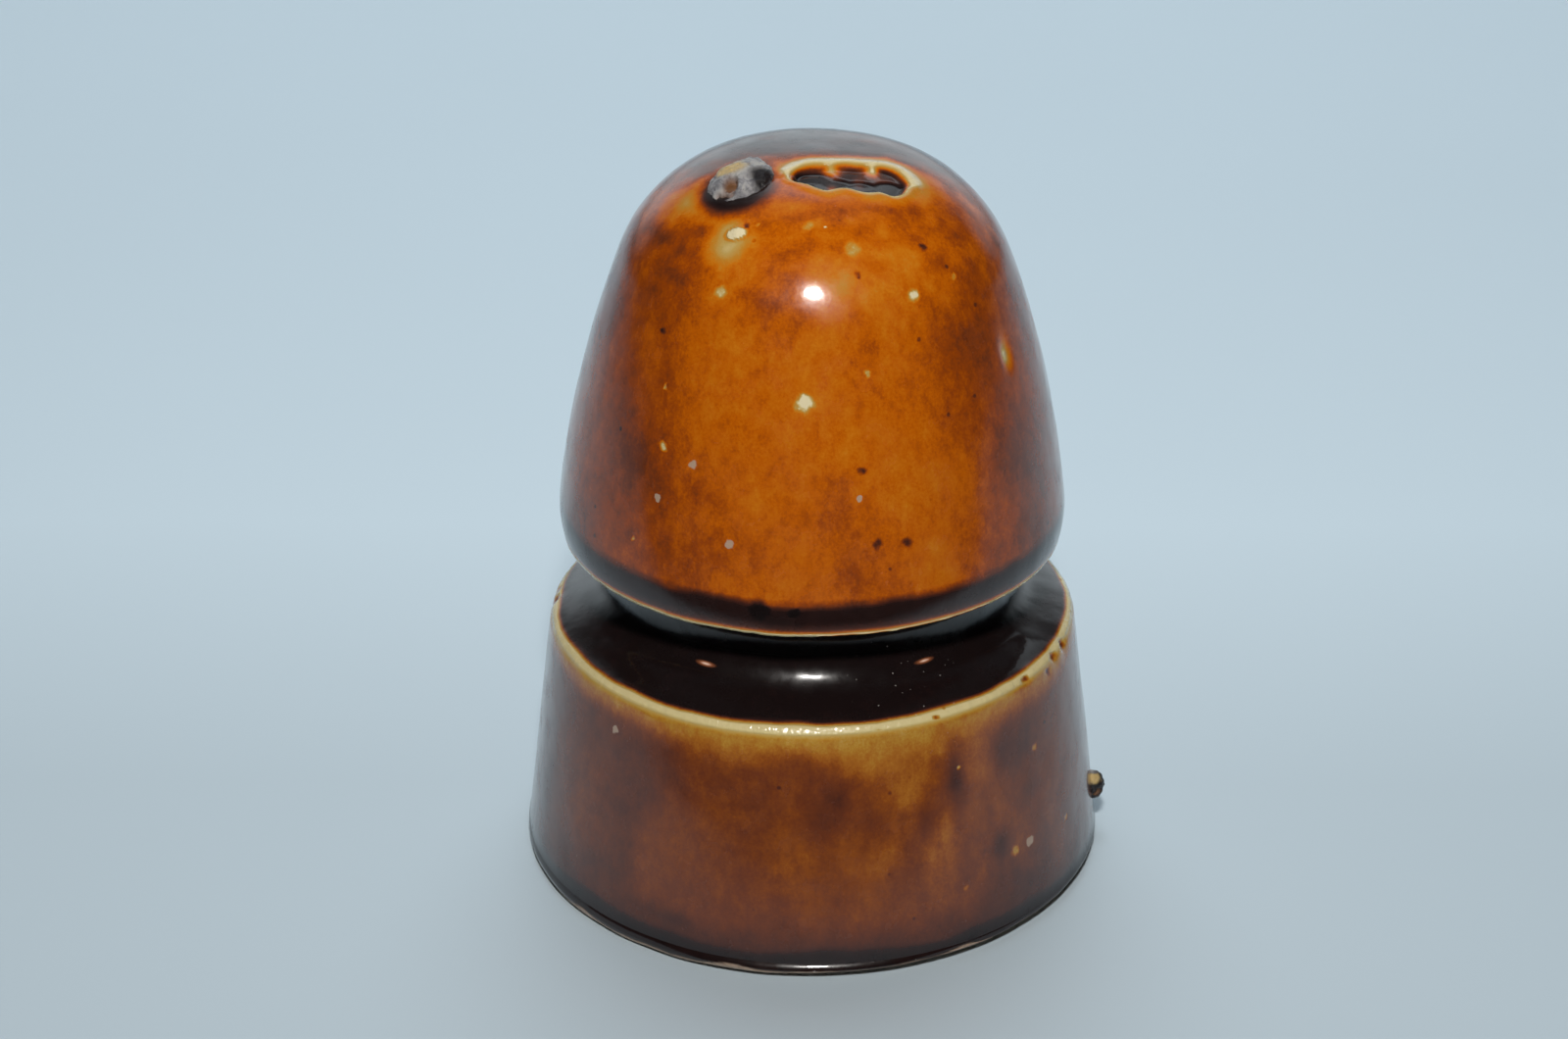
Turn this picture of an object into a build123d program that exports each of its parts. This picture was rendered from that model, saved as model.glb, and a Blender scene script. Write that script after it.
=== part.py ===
from build123d import *
import math
import os

# Pin-type fence insulator in millimetres, +Z up.
# Origin: centre of the flat foot, on the surface that the insulator stands on.
# The glazed ceramic screws down over a short hardwood peg. A bolt through the peg's sleeve
# holds the peg to the top of a post, with its head on the washer in the peg's top pocket.

# ---- Dome: tangent arcs from the top down to its sharp lower edge, the arris ----
OVERALL_HEIGHT = 75.5
CROWN_RADIUS = 49.9
CROWN_ANGLE = 8.1
SHOULDER_RADIUS = 15.3
SHOULDER_ANGLE = 61.7
FLANK_RADIUS = 112.0
FLANK_ANGLE = 13.6
TURN_IN_RADIUS = 9.0
TURN_IN_ANGLE = 21.9

# ---- Wire groove, open all round between the arris and the rim of the skirt ----
GROOVE_BOTTOM_RADIUS = 4.4
NECK_RADIUS = 20.0
GROOVE_CENTRE_Z = 32.0
GROOVE_SLOPE = 20.0            # the groove's lower side falls outwards by this many degrees

# ---- Skirt and foot ----
RIM_RADIUS = 26.8
RIM_Z = 26.0
RIM_ROUNDING = 0.7
SKIRT_RADIUS = 29.9
SKIRT_WIDEST_Z = 1.2
FOOT_INNER_RADIUS = 23.9

# ---- Hollow of the skirt and the threaded socket above it ----
HOLLOW_TOP_RADIUS = 19.0
HOLLOW_TOP_Z = 16.5
SOCKET_MOUTH_RADIUS = 14.4
SOCKET_MOUTH_Z = 19.5
SOCKET_RADIUS = 11.9           # the wall between the turns of its thread
SOCKET_TOP_Z = 59.0
CEILING_ROUNDING = 1.0

# ---- Coarse right-hand thread, 4 turns to the inch ----
PITCH = 6.35
THREAD_TURNS = 4.5
THREAD_START_Z = 25.0
THREAD_GAP = 0.35              # free space all round the ridge, in the socket
RIDGE_HEIGHT = 1.15
RIDGE_ROOT = 3.4
RIDGE_CREST = 1.4
RIDGE_BURIED = 0.4             # how far the ridge's root reaches into the peg
SOCKET_THREAD_TURNS = 6.1      # from below the socket's mouth to just past the ridge's end

# ---- Hardwood peg ----
PEG_RADIUS = SOCKET_RADIUS - THREAD_GAP
PEG_TOP_Z = 55.8
FLANGE_RADIUS = 16.5
FLANGE_HEIGHT = 10.0
FLANGE_TAPER_Z = 18.0
EDGE_ROUNDING = 0.8

# ---- Steel on the peg, for an M8 bolt or coach screw ----
BOLT_HOLE_RADIUS = 4.5
SLEEVE_WALL = 1.0
POCKET_RADIUS = 8.7
POCKET_DEPTH = 9.0
WASHER_RADIUS = 8.0
WASHER_THICKNESS = 1.6

# ---- Felt disc between the peg's top and the ceiling of the socket ----
FELT_RADIUS = 10.4
FELT_GAP = 0.1

# ---- Lumps of kiln grit fused into the glaze: half-sizes along, across and outwards ----
DOME_GRIT_HALF = (3.4, 3.0, 1.9)
DOME_GRIT_RADIUS = 8.9         # its distance from the centre line
DOME_GRIT_Z = 74.1
DOME_GRIT_TURN = 307.0         # from the front (-Y), anticlockwise seen from above
DOME_GRIT_TILT = 24.0
SKIRT_GRIT_HALF = (1.3, 1.5, 1.9)
SKIRT_GRIT_RADIUS = 29.1
SKIRT_GRIT_Z = 5.1
SKIRT_GRIT_TURN = 88.0


def revolved(lines):
    """Close the outline, drawn as radius against height, and turn it about the centre line."""
    face = make_face(lines)
    return revolve(Plane.XZ * face, Axis.Z)


def disc(radius, bottom_z, top_z, hole_radius=0.0):
    """A round plate or tube on the centre line."""
    solid = Pos(0, 0, bottom_z) * extrude(Circle(radius), top_z - bottom_z)
    if hole_radius > 0:
        solid -= Pos(0, 0, bottom_z) * extrude(Circle(hole_radius), top_z - bottom_z)
    return solid


def outside_outline():
    """The ceramic from the top of the dome down to the outer edge of the foot."""
    crown = JernArc((0, OVERALL_HEIGHT), (1, 0), CROWN_RADIUS, -CROWN_ANGLE)
    shoulder = JernArc(crown @ 1, crown % 1, SHOULDER_RADIUS, -SHOULDER_ANGLE)
    flank = JernArc(shoulder @ 1, shoulder % 1, FLANK_RADIUS, -FLANK_ANGLE)
    turn_in = JernArc(flank @ 1, flank % 1, TURN_IN_RADIUS, -TURN_IN_ANGLE)
    groove_centre = (NECK_RADIUS + GROOVE_BOTTOM_RADIUS, GROOVE_CENTRE_Z)
    groove_arc = CenterArc(groove_centre, GROOVE_BOTTOM_RADIUS, 90, 180 - GROOVE_SLOPE)
    under_dome = Line(turn_in @ 1, groove_arc @ 0)
    lip_radius = RIM_RADIUS - RIM_ROUNDING
    groove_end = groove_arc @ 1
    lip_z = groove_end.Y - (lip_radius - groove_end.X) * math.tan(math.radians(GROOVE_SLOPE))
    lower_side = Line(groove_end, (lip_radius, lip_z))
    rim_middle = (RIM_RADIUS - 0.25 * RIM_ROUNDING, RIM_Z + 0.3 * RIM_ROUNDING)
    rim = ThreePointArc(lower_side @ 1, rim_middle, (RIM_RADIUS, RIM_Z - 0.5 * RIM_ROUNDING))
    skirt = Line(rim @ 1, (SKIRT_RADIUS, SKIRT_WIDEST_Z))
    flare = math.degrees(math.atan2((skirt % 1).X, -(skirt % 1).Y))
    foot_rounding = SKIRT_WIDEST_Z / (1 + math.sin(math.radians(flare)))
    foot_edge = JernArc(skirt @ 1, skirt % 1, foot_rounding, -90 - flare)
    return [crown, shoulder, flank, turn_in, under_dome, groove_arc, lower_side, rim, skirt, foot_edge]


def inside_outline(start):
    """The foot, the hollow skirt and the socket, back up to the centre line."""
    points = [
        start,
        (FOOT_INNER_RADIUS, 0),
        (HOLLOW_TOP_RADIUS, HOLLOW_TOP_Z),
        (SOCKET_MOUTH_RADIUS, SOCKET_MOUTH_Z),
        (SOCKET_RADIUS, SOCKET_MOUTH_Z + SOCKET_MOUTH_RADIUS - SOCKET_RADIUS),
        (SOCKET_RADIUS, SOCKET_TOP_Z - CEILING_ROUNDING),
        (SOCKET_RADIUS - CEILING_ROUNDING, SOCKET_TOP_Z),
        (0, SOCKET_TOP_Z),
        (0, OVERALL_HEIGHT),
    ]
    return Polyline(*points)


def thread_ridge(core_radius, start_z, turns, extra=0.0):
    """A helical ridge with sloping sides, standing on a core of this radius."""
    path = Pos(0, 0, start_z) * Helix(PITCH, PITCH * turns, core_radius)
    root = 0.5 * RIDGE_ROOT + extra
    crest = 0.5 * RIDGE_CREST + extra
    inner = -RIDGE_BURIED
    outer = RIDGE_HEIGHT + extra
    section = make_face(Polyline((inner, -root), (outer, -crest), (outer, crest), (inner, root), close=True))
    start_plane = Plane(origin=path @ 0, x_dir=(1, 0, 0), z_dir=path % 0)
    return sweep(start_plane * section, path=path, is_frenet=True)


def ceramic_body():
    """Dome, groove, neck and skirt in one piece, hollow below and threaded inside."""
    outside = outside_outline()
    inside = inside_outline(outside[-1] @ 1)
    body = revolved(outside + [inside])
    skipped_turns = SOCKET_THREAD_TURNS - THREAD_TURNS - 0.1
    groove_start_z = THREAD_START_Z - skipped_turns * PITCH
    thread = thread_ridge(PEG_RADIUS, groove_start_z, SOCKET_THREAD_TURNS, THREAD_GAP)
    start_turn = -360.0 * skipped_turns
    return body - Rot(0, 0, start_turn) * thread


def thread_peg():
    """Hardwood peg: a flange on the post, the threaded stem, and a pocket for the bolt's head."""
    stem_points = [
        (0, 0),
        (FLANGE_RADIUS, 0),
        (FLANGE_RADIUS, FLANGE_HEIGHT),
        (PEG_RADIUS, FLANGE_TAPER_Z),
        (PEG_RADIUS, PEG_TOP_Z - EDGE_ROUNDING),
        (PEG_RADIUS - EDGE_ROUNDING, PEG_TOP_Z),
        (0, PEG_TOP_Z),
    ]
    peg = revolved(Polyline(*stem_points, close=True))
    peg += thread_ridge(PEG_RADIUS, THREAD_START_Z, THREAD_TURNS)
    pocket_floor_z = PEG_TOP_Z - POCKET_DEPTH
    peg -= disc(POCKET_RADIUS, pocket_floor_z, PEG_TOP_Z)
    peg -= disc(BOLT_HOLE_RADIUS + SLEEVE_WALL, 0, pocket_floor_z)
    return peg


def bore_sleeve():
    """Steel tube that lines the peg's bore, from the foot to the pocket's floor."""
    return disc(BOLT_HOLE_RADIUS + SLEEVE_WALL, 0, PEG_TOP_Z - POCKET_DEPTH, BOLT_HOLE_RADIUS)


def head_washer():
    """Steel washer on the pocket's floor, under the bolt's head."""
    floor_z = PEG_TOP_Z - POCKET_DEPTH
    return disc(WASHER_RADIUS, floor_z, floor_z + WASHER_THICKNESS, BOLT_HOLE_RADIUS)


def felt_disc():
    """Felt disc that keeps the ceramic off the end of the peg."""
    return disc(FELT_RADIUS, PEG_TOP_Z + FELT_GAP, SOCKET_TOP_Z - FELT_GAP)


def grit_lump(half_sizes, radius, height, turn, tilt):
    """A rounded lump at this place on the surface, its third half-size pointing outwards."""
    along, across, outwards = half_sizes
    ball = scale(Sphere(1.0), by=(along, across, outwards))
    placed = Rot(0, 0, turn) * Pos(0, -radius, height) * Rot(tilt, 0, 0) * ball
    return placed


def main():
    ceramic = ceramic_body()
    dome_grit = grit_lump(DOME_GRIT_HALF, DOME_GRIT_RADIUS, DOME_GRIT_Z, DOME_GRIT_TURN, DOME_GRIT_TILT)
    skirt_grit = grit_lump(SKIRT_GRIT_HALF, SKIRT_GRIT_RADIUS, SKIRT_GRIT_Z, SKIRT_GRIT_TURN, 90.0)
    nodes = {
        "ceramic_body": ceramic,
        "dome_kiln_grit": dome_grit - ceramic,
        "skirt_kiln_grit": skirt_grit - ceramic,
        "thread_peg": thread_peg(),
        "bore_sleeve": bore_sleeve(),
        "head_washer": head_washer(),
        "felt_disc": felt_disc(),
    }
    os.makedirs("parts", exist_ok=True)
    for name, solid in nodes.items():
        export_step(solid, f"parts/{name}.step")


main()
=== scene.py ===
import bpy
import math
import numpy as np
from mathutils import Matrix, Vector


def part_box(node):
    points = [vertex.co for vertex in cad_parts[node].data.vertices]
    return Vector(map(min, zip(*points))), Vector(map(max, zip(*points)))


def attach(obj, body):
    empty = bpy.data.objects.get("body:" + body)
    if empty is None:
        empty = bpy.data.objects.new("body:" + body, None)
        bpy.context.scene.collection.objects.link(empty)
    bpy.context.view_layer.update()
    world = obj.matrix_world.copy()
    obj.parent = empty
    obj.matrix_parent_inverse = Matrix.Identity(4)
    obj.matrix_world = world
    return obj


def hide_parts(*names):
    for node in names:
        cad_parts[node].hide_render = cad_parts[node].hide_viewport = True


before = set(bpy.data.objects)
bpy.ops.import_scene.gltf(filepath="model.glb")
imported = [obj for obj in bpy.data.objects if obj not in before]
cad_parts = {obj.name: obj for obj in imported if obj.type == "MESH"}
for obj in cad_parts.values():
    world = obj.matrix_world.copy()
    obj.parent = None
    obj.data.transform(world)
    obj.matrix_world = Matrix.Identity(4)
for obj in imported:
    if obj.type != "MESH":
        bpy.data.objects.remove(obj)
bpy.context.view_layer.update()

MM = 0.001

# -------------------- sizes, in millimetres
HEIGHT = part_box("ceramic_body")[1].z / MM
# the dome's arcs from its top down: radius, and turn in degrees
CROWN_RADIUS, CROWN_ANGLE = 49.9, 8.1
SHOULDER_RADIUS, SHOULDER_ANGLE = 15.3, 61.7
FLANK_RADIUS, FLANK_ANGLE = 112.0, 13.6
TURN_IN_RADIUS, TURN_IN_ANGLE = 9.0, 21.9
GROOVE_BOTTOM_RADIUS = 4.4
NECK_RADIUS = 20.0
GROOVE_CENTRE_Z = 32.0
GROOVE_SLOPE = 20.0
RIM_RADIUS, RIM_Z = 26.8, 26.0
SKIRT_RADIUS, SKIRT_WIDEST_Z = 29.9, 1.2
FOOT_RADIUS, FOOT_INNER_RADIUS = 28.85, 23.9
HOLLOW_TOP = (19.0, 16.5)
SOCKET_MOUTH = (14.4, 19.5)
SOCKET_RADIUS, SOCKET_TOP_Z = 11.9, 59.0
PITCH = 6.35
THREAD_START_Z = 25.0
THREAD_DEPTH = 1.15
THREAD_TOP_Z = THREAD_START_Z + 4.5 * PITCH + 2.0
# heights between which the socket's thread and the peg's ridge grow and die away
GROOVE_STARTS, GROOVE_ENDS = (20.5, 22.5), (THREAD_TOP_Z, THREAD_TOP_Z + 1.0)
RIDGE_STARTS, RIDGE_ENDS = (24.6, 26.2), (52.0, 54.0)
PEG_RADIUS, PEG_TOP_Z = 11.55, 55.8
FLANGE_RADIUS, FLANGE_HEIGHT, FLANGE_TAPER_Z = 16.5, 10.0, 18.0
POCKET_RADIUS, POCKET_FLOOR_Z = 8.7, 46.8
PEG_BORE_RADIUS = 5.52

AROUND = 360  # corners of each outside ring
AROUND_INSIDE = AROUND // 4


# -------------------- small tools
def wave_noise(points, size, seed, waves=20):
    """Smooth noise of about -1 to 1 at these points, with bumps about this size across."""
    random = np.random.RandomState(seed)
    directions = random.normal(size=(waves, 3))
    directions /= np.linalg.norm(directions, axis=1)[:, None]
    lengths = size * random.uniform(1.4, 3.2, waves)
    phases = random.uniform(0, 2 * math.pi, waves)
    angles = points @ (directions / lengths[:, None]).T * 2 * math.pi + phases
    return np.cos(angles).sum(axis=1) * math.sqrt(2.0 / waves) * 0.6


def smooth_step(value, low, high):
    """0 up to low, 1 from high on, and a smooth rise between."""
    part = np.clip((value - low) / (high - low), 0.0, 1.0)
    return part * part * (3 - 2 * part)


def on_surface(turn, radius, height):
    """A point by its turn from the front (-Y) towards the right (+X), in millimetres."""
    angle = math.radians(turn)
    return np.array([radius * math.sin(angle), -radius * math.cos(angle), height])


def new_object(name, points_mm, faces):
    mesh = bpy.data.meshes.new(name)
    mesh.from_pydata([tuple(p) for p in points_mm * MM], [], faces)
    mesh.validate()
    mesh.shade_smooth()
    thing = bpy.data.objects.new(name, mesh)
    bpy.context.scene.collection.objects.link(thing)
    return thing


def add_attribute(mesh, name, values):
    layer = mesh.attributes.new(name, "FLOAT", "POINT")
    layer.data.foreach_set("value", np.asarray(values, np.float32))


def rings(outline, around):
    """The radius, height and angle of every corner, ring by ring along an outline."""
    outline = np.array(outline)
    angle = np.tile(np.arange(around) * 2 * math.pi / around, len(outline))
    return np.repeat(outline[:, 0], around), np.repeat(outline[:, 1], around), angle


def ring_faces(first, rows, around):
    """Four-sided faces between neighbouring rings of corners, the first ring starting at this corner."""
    faces = []
    for row in range(rows - 1):
        a, b = first + row * around, first + (row + 1) * around
        faces += [(a + k, b + k, b + (k + 1) % around, a + (k + 1) % around) for k in range(around)]
    return faces


def top_fan(point, around):
    """Three-sided faces from one corner to the first ring."""
    return [(point, k, (k + 1) % around) for k in range(around)]


def end_fan(point, last, around):
    """Three-sided faces that close the ring starting at corner last."""
    return [(last + k, point, last + (k + 1) % around) for k in range(around)]


# -------------------- the ceramic's outline
def arc_run(start, heading, radius, turn, step):
    """Points along an arc that bends down and inwards, as radius and height, and its end heading."""
    heading_angle = math.radians(heading)
    centre = (start[0] - radius * math.sin(heading_angle), start[1] - radius * math.cos(heading_angle))
    count = max(2, round(radius * math.radians(turn) / step))
    angles = heading_angle + np.radians(turn) * np.arange(1, count + 1) / count
    points = [(centre[0] + radius * math.sin(a), centre[1] + radius * math.cos(a)) for a in angles]
    return points, heading + turn


def straight_run(start, end, step):
    """Points along a straight stretch, about one step apart."""
    start, end = np.array(start), np.array(end)
    count = max(1, round(math.dist(start, end) / step))
    return [tuple(start + (end - start) * k / count) for k in range(1, count + 1)]


def curve_run(start, control, end, count):
    """Points along a rounded corner from start to end, pulled towards control."""
    parts = np.arange(1, count + 1)[:, None] / count
    pulled = 2 * parts * (1 - parts) * np.array(control)
    run = (1 - parts) ** 2 * np.array(start) + pulled + parts ** 2 * np.array(end)
    return [tuple(point) for point in run]


def outside_profile():
    """Radius, height and zone along the outside, from the top of the dome to the foot's inner edge."""
    points = [(0.02, HEIGHT)]
    zones = {}
    run, heading = arc_run((0, HEIGHT), 0, CROWN_RADIUS, CROWN_ANGLE, 0.2)
    points += run
    run, heading = arc_run(points[-1], heading, SHOULDER_RADIUS, SHOULDER_ANGLE, 0.2)
    points += run
    run, heading = arc_run(points[-1], heading, FLANK_RADIUS, FLANK_ANGLE, 0.7)
    points += run
    run, heading = arc_run(points[-1], heading, TURN_IN_RADIUS, TURN_IN_ANGLE, 0.22)
    points += run
    zones["arris"] = len(points) - 1
    arris = points[-1]
    points += straight_run(arris, (arris[0] - 0.35, arris[1] + 0.12), 0.09)
    centre = (NECK_RADIUS + GROOVE_BOTTOM_RADIUS, GROOVE_CENTRE_Z)
    points += straight_run(points[-1], (centre[0], centre[1] + GROOVE_BOTTOM_RADIUS), 0.2)
    for angle in np.radians(np.arange(95, 271 - GROOVE_SLOPE, 5.0)):
        across, up = GROOVE_BOTTOM_RADIUS * math.cos(angle), GROOVE_BOTTOM_RADIUS * math.sin(angle)
        points.append((centre[0] + across, centre[1] + up))
    slope = math.tan(math.radians(GROOVE_SLOPE))
    lip_radius = RIM_RADIUS - 1.25
    lip_z = points[-1][1] - (lip_radius - points[-1][0]) * slope
    points += straight_run(points[-1], (lip_radius, lip_z), 0.4)
    zones["lip"] = len(points) - 1
    rim_end = (RIM_RADIUS + 0.09, RIM_Z - 0.8)
    points += curve_run((lip_radius, lip_z), (RIM_RADIUS - 0.05, RIM_Z + 0.55), rim_end, 18)
    zones["crest"] = zones["lip"] + 9
    zones["rim"] = len(points) - 1
    near_foot = (SKIRT_RADIUS - 0.42, SKIRT_WIDEST_Z + 3.4)
    points += straight_run(points[-1], near_foot, 0.65)
    points += straight_run(near_foot, (SKIRT_RADIUS, SKIRT_WIDEST_Z), 0.12)
    zones["widest"] = len(points) - 1
    points += curve_run((SKIRT_RADIUS, SKIRT_WIDEST_Z), (SKIRT_RADIUS + 0.05, 0.0), (FOOT_RADIUS, 0.0), 10)
    zones["foot"] = len(points) - 1
    points += straight_run(points[-1], (FOOT_INNER_RADIUS, 0.0), 0.7)
    return np.array(points), zones


def inside_profile():
    """Radius and height up the hollow skirt and the socket to the middle of its ceiling."""
    points = straight_run((FOOT_INNER_RADIUS, 0.0), HOLLOW_TOP, 2.0)
    points += straight_run(HOLLOW_TOP, SOCKET_MOUTH, 1.2)
    wall_start = (SOCKET_RADIUS, SOCKET_MOUTH[1] + SOCKET_MOUTH[0] - SOCKET_RADIUS)
    points += straight_run(SOCKET_MOUTH, wall_start, 0.8)
    points += straight_run(wall_start, (SOCKET_RADIUS, SOCKET_TOP_Z - 1.0), 0.45)
    points += straight_run(points[-1], (SOCKET_RADIUS - 1.0, SOCKET_TOP_Z), 0.7)
    points += straight_run(points[-1], (1.5, SOCKET_TOP_Z), 2.5)
    return np.array(points)


def thread_groove(angle, height):
    """How deep the socket's round thread is cut at this angle (about +Z, from +X) and height."""
    turn = (height - THREAD_START_Z) / PITCH - angle / (2 * math.pi)
    away = np.abs(turn - np.round(turn)) * PITCH
    depth = (THREAD_DEPTH + 0.3) * (1 - smooth_step(away, 0.95, 2.05))
    threaded = smooth_step(height, *GROOVE_STARTS) * (1 - smooth_step(height, *GROOVE_ENDS))
    return depth * threaded


# -------------------- glaze thickness
STAMP_CENTRE = (3.4, -5.2)
STAMP_HALF_LENGTH = 5.8
STAMP_HALF_WIDTH = 2.9
STAMP_TURN = 6.0
STAMP_DEPTH = 0.55
OFF_STAMP = 99.0  # the distance that stands for nowhere near the stamp
# the dark pools in it: place along and across, half-length and half-width
STAMP_POOLS = [(-3.4, 0.7, 1.9, 1.3), (-1.8, -0.5, 2.0, 1.1), (0.9, -0.9, 1.7, 1.0), (3.9, -1.1, 1.6, 1.5)]
# the pale mounds in it: place along and across, size and strength
STAMP_MOUNDS = [
    (-1.5, 2.2, 0.75, 0.85), (2.5, 2.2, 0.62, 1.0), (-1.8, -1.4, 0.60, 0.5), (0.9, -0.7, 0.60, 0.25),
]


def stamp_axes(points):
    """Where points lie along and across the stamp, seen from above, in millimetres."""
    turn = math.radians(STAMP_TURN)
    dx = points[:, 0] - STAMP_CENTRE[0]
    dy = points[:, 1] - STAMP_CENTRE[1]
    return dx * math.cos(turn) + dy * math.sin(turn), dy * math.cos(turn) - dx * math.sin(turn)


def stamp_distance(points):
    """Distance outwards from the edge of the stamp's stadium, with lobes along its front edge."""
    along, across = stamp_axes(points)
    straight = STAMP_HALF_LENGTH - STAMP_HALF_WIDTH
    beyond = along - np.clip(along, -straight, straight)
    front = smooth_step(-across, 0.0, 1.5)
    scallop = 0.22 * np.cos((along - 0.9) * 2 * math.pi / 3.4)
    return np.hypot(beyond, across) - STAMP_HALF_WIDTH - front * (scallop - 0.55 + 0.08 * along)


def mound_distance(points, place_along, place_across):
    """Distance from a mound's middle; mounds are longer across the stamp than along it."""
    along, across = stamp_axes(points)
    return np.hypot(along - place_along, (across - place_across) * 0.6)


def pool_distance(points):
    """Distance outwards from the nearest pool's edge."""
    along, across = stamp_axes(points)
    nearest = np.full(len(points), OFF_STAMP)
    for place_along, place_across, half_along, half_across in STAMP_POOLS:
        reach = np.hypot((along - place_along) / half_along, (across - place_across) / half_across)
        nearest = np.minimum(nearest, (reach - 1) * min(half_along, half_across))
    return nearest


DULL_PATCH = on_surface(-3.0, 18.0, 68.5)  # duller glaze on the dome's front
PIMPLE = on_surface(-30.4, 14.05, 71.95)  # a bubble raised in the glaze
DOME_CHIP = on_surface(60.2, 21.3, 59.0)
GRIT_HALO = np.array([-6.9, -5.8, 73.8])  # the middle of the dark glaze around the dome's grit
# small chips in the rim: turn from the front, distance past the crest, radius, depth
RIM_CHIPS = [
    (52.6, 0.15, 0.50, 0.30), (65.2, 0.35, 0.65, 0.40), (71.5, 0.45, 0.75, 0.50), (61.0, 1.1, 0.45, 0.22),
    (27.1, 0.1, 0.30, 0.15), (14.4, 0.2, 0.25, 0.12), (-93, 0.2, 0.9, 0.40), (-97, 0.0, 0.6, 0.25),
]
# paler and darker runs of glaze on the skirt: turn, height, half-width, half-height, change in thickness
SKIRT_BLOTCHES = [
    (20, 19.5, 2.6, 2.6, -0.22), (28, 23.0, 1.2, 1.0, -0.10), (37, 20.0, 1.5, 3.0, -0.10),
    (29, 13.6, 1.1, 2.8, -0.17), (15, 13.8, 1.6, 2.2, -0.13), (24, 11.8, 1.0, 1.4, -0.12),
    (2, 12.0, 6.0, 4.5, -0.07), (23, 16.2, 1.5, 2.0, 0.15), (32, 18.5, 1.0, 3.6, 0.17),
    (47, 19.5, 3.0, 2.6, 0.14), (49, 14.4, 2.6, 2.2, 0.10), (41, 10.6, 1.5, 1.7, 0.17),
    (4, 19.0, 1.7, 3.2, 0.09), (-41, 17.0, 6.0, 6.0, 0.02), (-20, 15.0, 5.0, 6.0, -0.04),
    (-30, 4.6, 3.4, 0.7, 0.14), (12, 22.2, 5.5, 1.3, -0.06), (35, 22.0, 2.5, 1.2, -0.06),
    (46, 5.5, 6.0, 2.6, 0.12), (-48, 6.0, 8.0, 2.6, 0.08),
]
# paler and darker places in the dome's glaze: turn, height, size, change in thickness
DOME_BLOTCHES = [
    (-62, 72.6, 2.6, -0.24), (-38, 70.0, 1.3, -0.10), (6, 69.5, 2.8, -0.08), (-12, 71.2, 2.0, 0.02),
    (8, 73.8, 1.8, 0.10), (40, 72.8, 2.2, 0.14), (44, 69.8, 1.4, 0.10), (-20, 66.0, 2.6, 0.04),
    (30, 63.5, 3.5, 0.04), (-8, 62.0, 3.0, -0.03), (46, 62.0, 3.0, 0.09), (38, 55.0, 2.4, 0.07),
    (52, 50.0, 3.0, 0.08), (34, 47.0, 1.8, 0.06), (-46, 50.0, 3.0, 0.07), (-40, 60.0, 2.4, 0.06),
    (20, 44.0, 3.0, 0.05), (-15, 45.0, 3.0, 0.04),
]
BEAD_Z, BEAD_RISE, BEAD_DIP = 1.5, 0.03, 0.02  # the glaze's lower edge, and the dip above it
# gaps where the foot's glaze stops higher up: turn from the front and width, in degrees
FOOT_SKIPS = [(-15.4, 4.0), (-50.6, 3.0), (31.2, 3.5), (115, 5.0), (-150, 6.0)]
RIM_TILT = 0.35  # the rim is this much higher at the right and lower at the left
OUTSIDE, ZONES = outside_profile()


def surface_radius(height):
    """How far the dome's or the skirt's outside is from the centre line at this height."""
    part = OUTSIDE[ZONES["rim"]:ZONES["widest"]] if height < RIM_Z else OUTSIDE[:ZONES["arris"]]
    return float(np.interp(height, part[::-1, 1], part[::-1, 0]))


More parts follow.
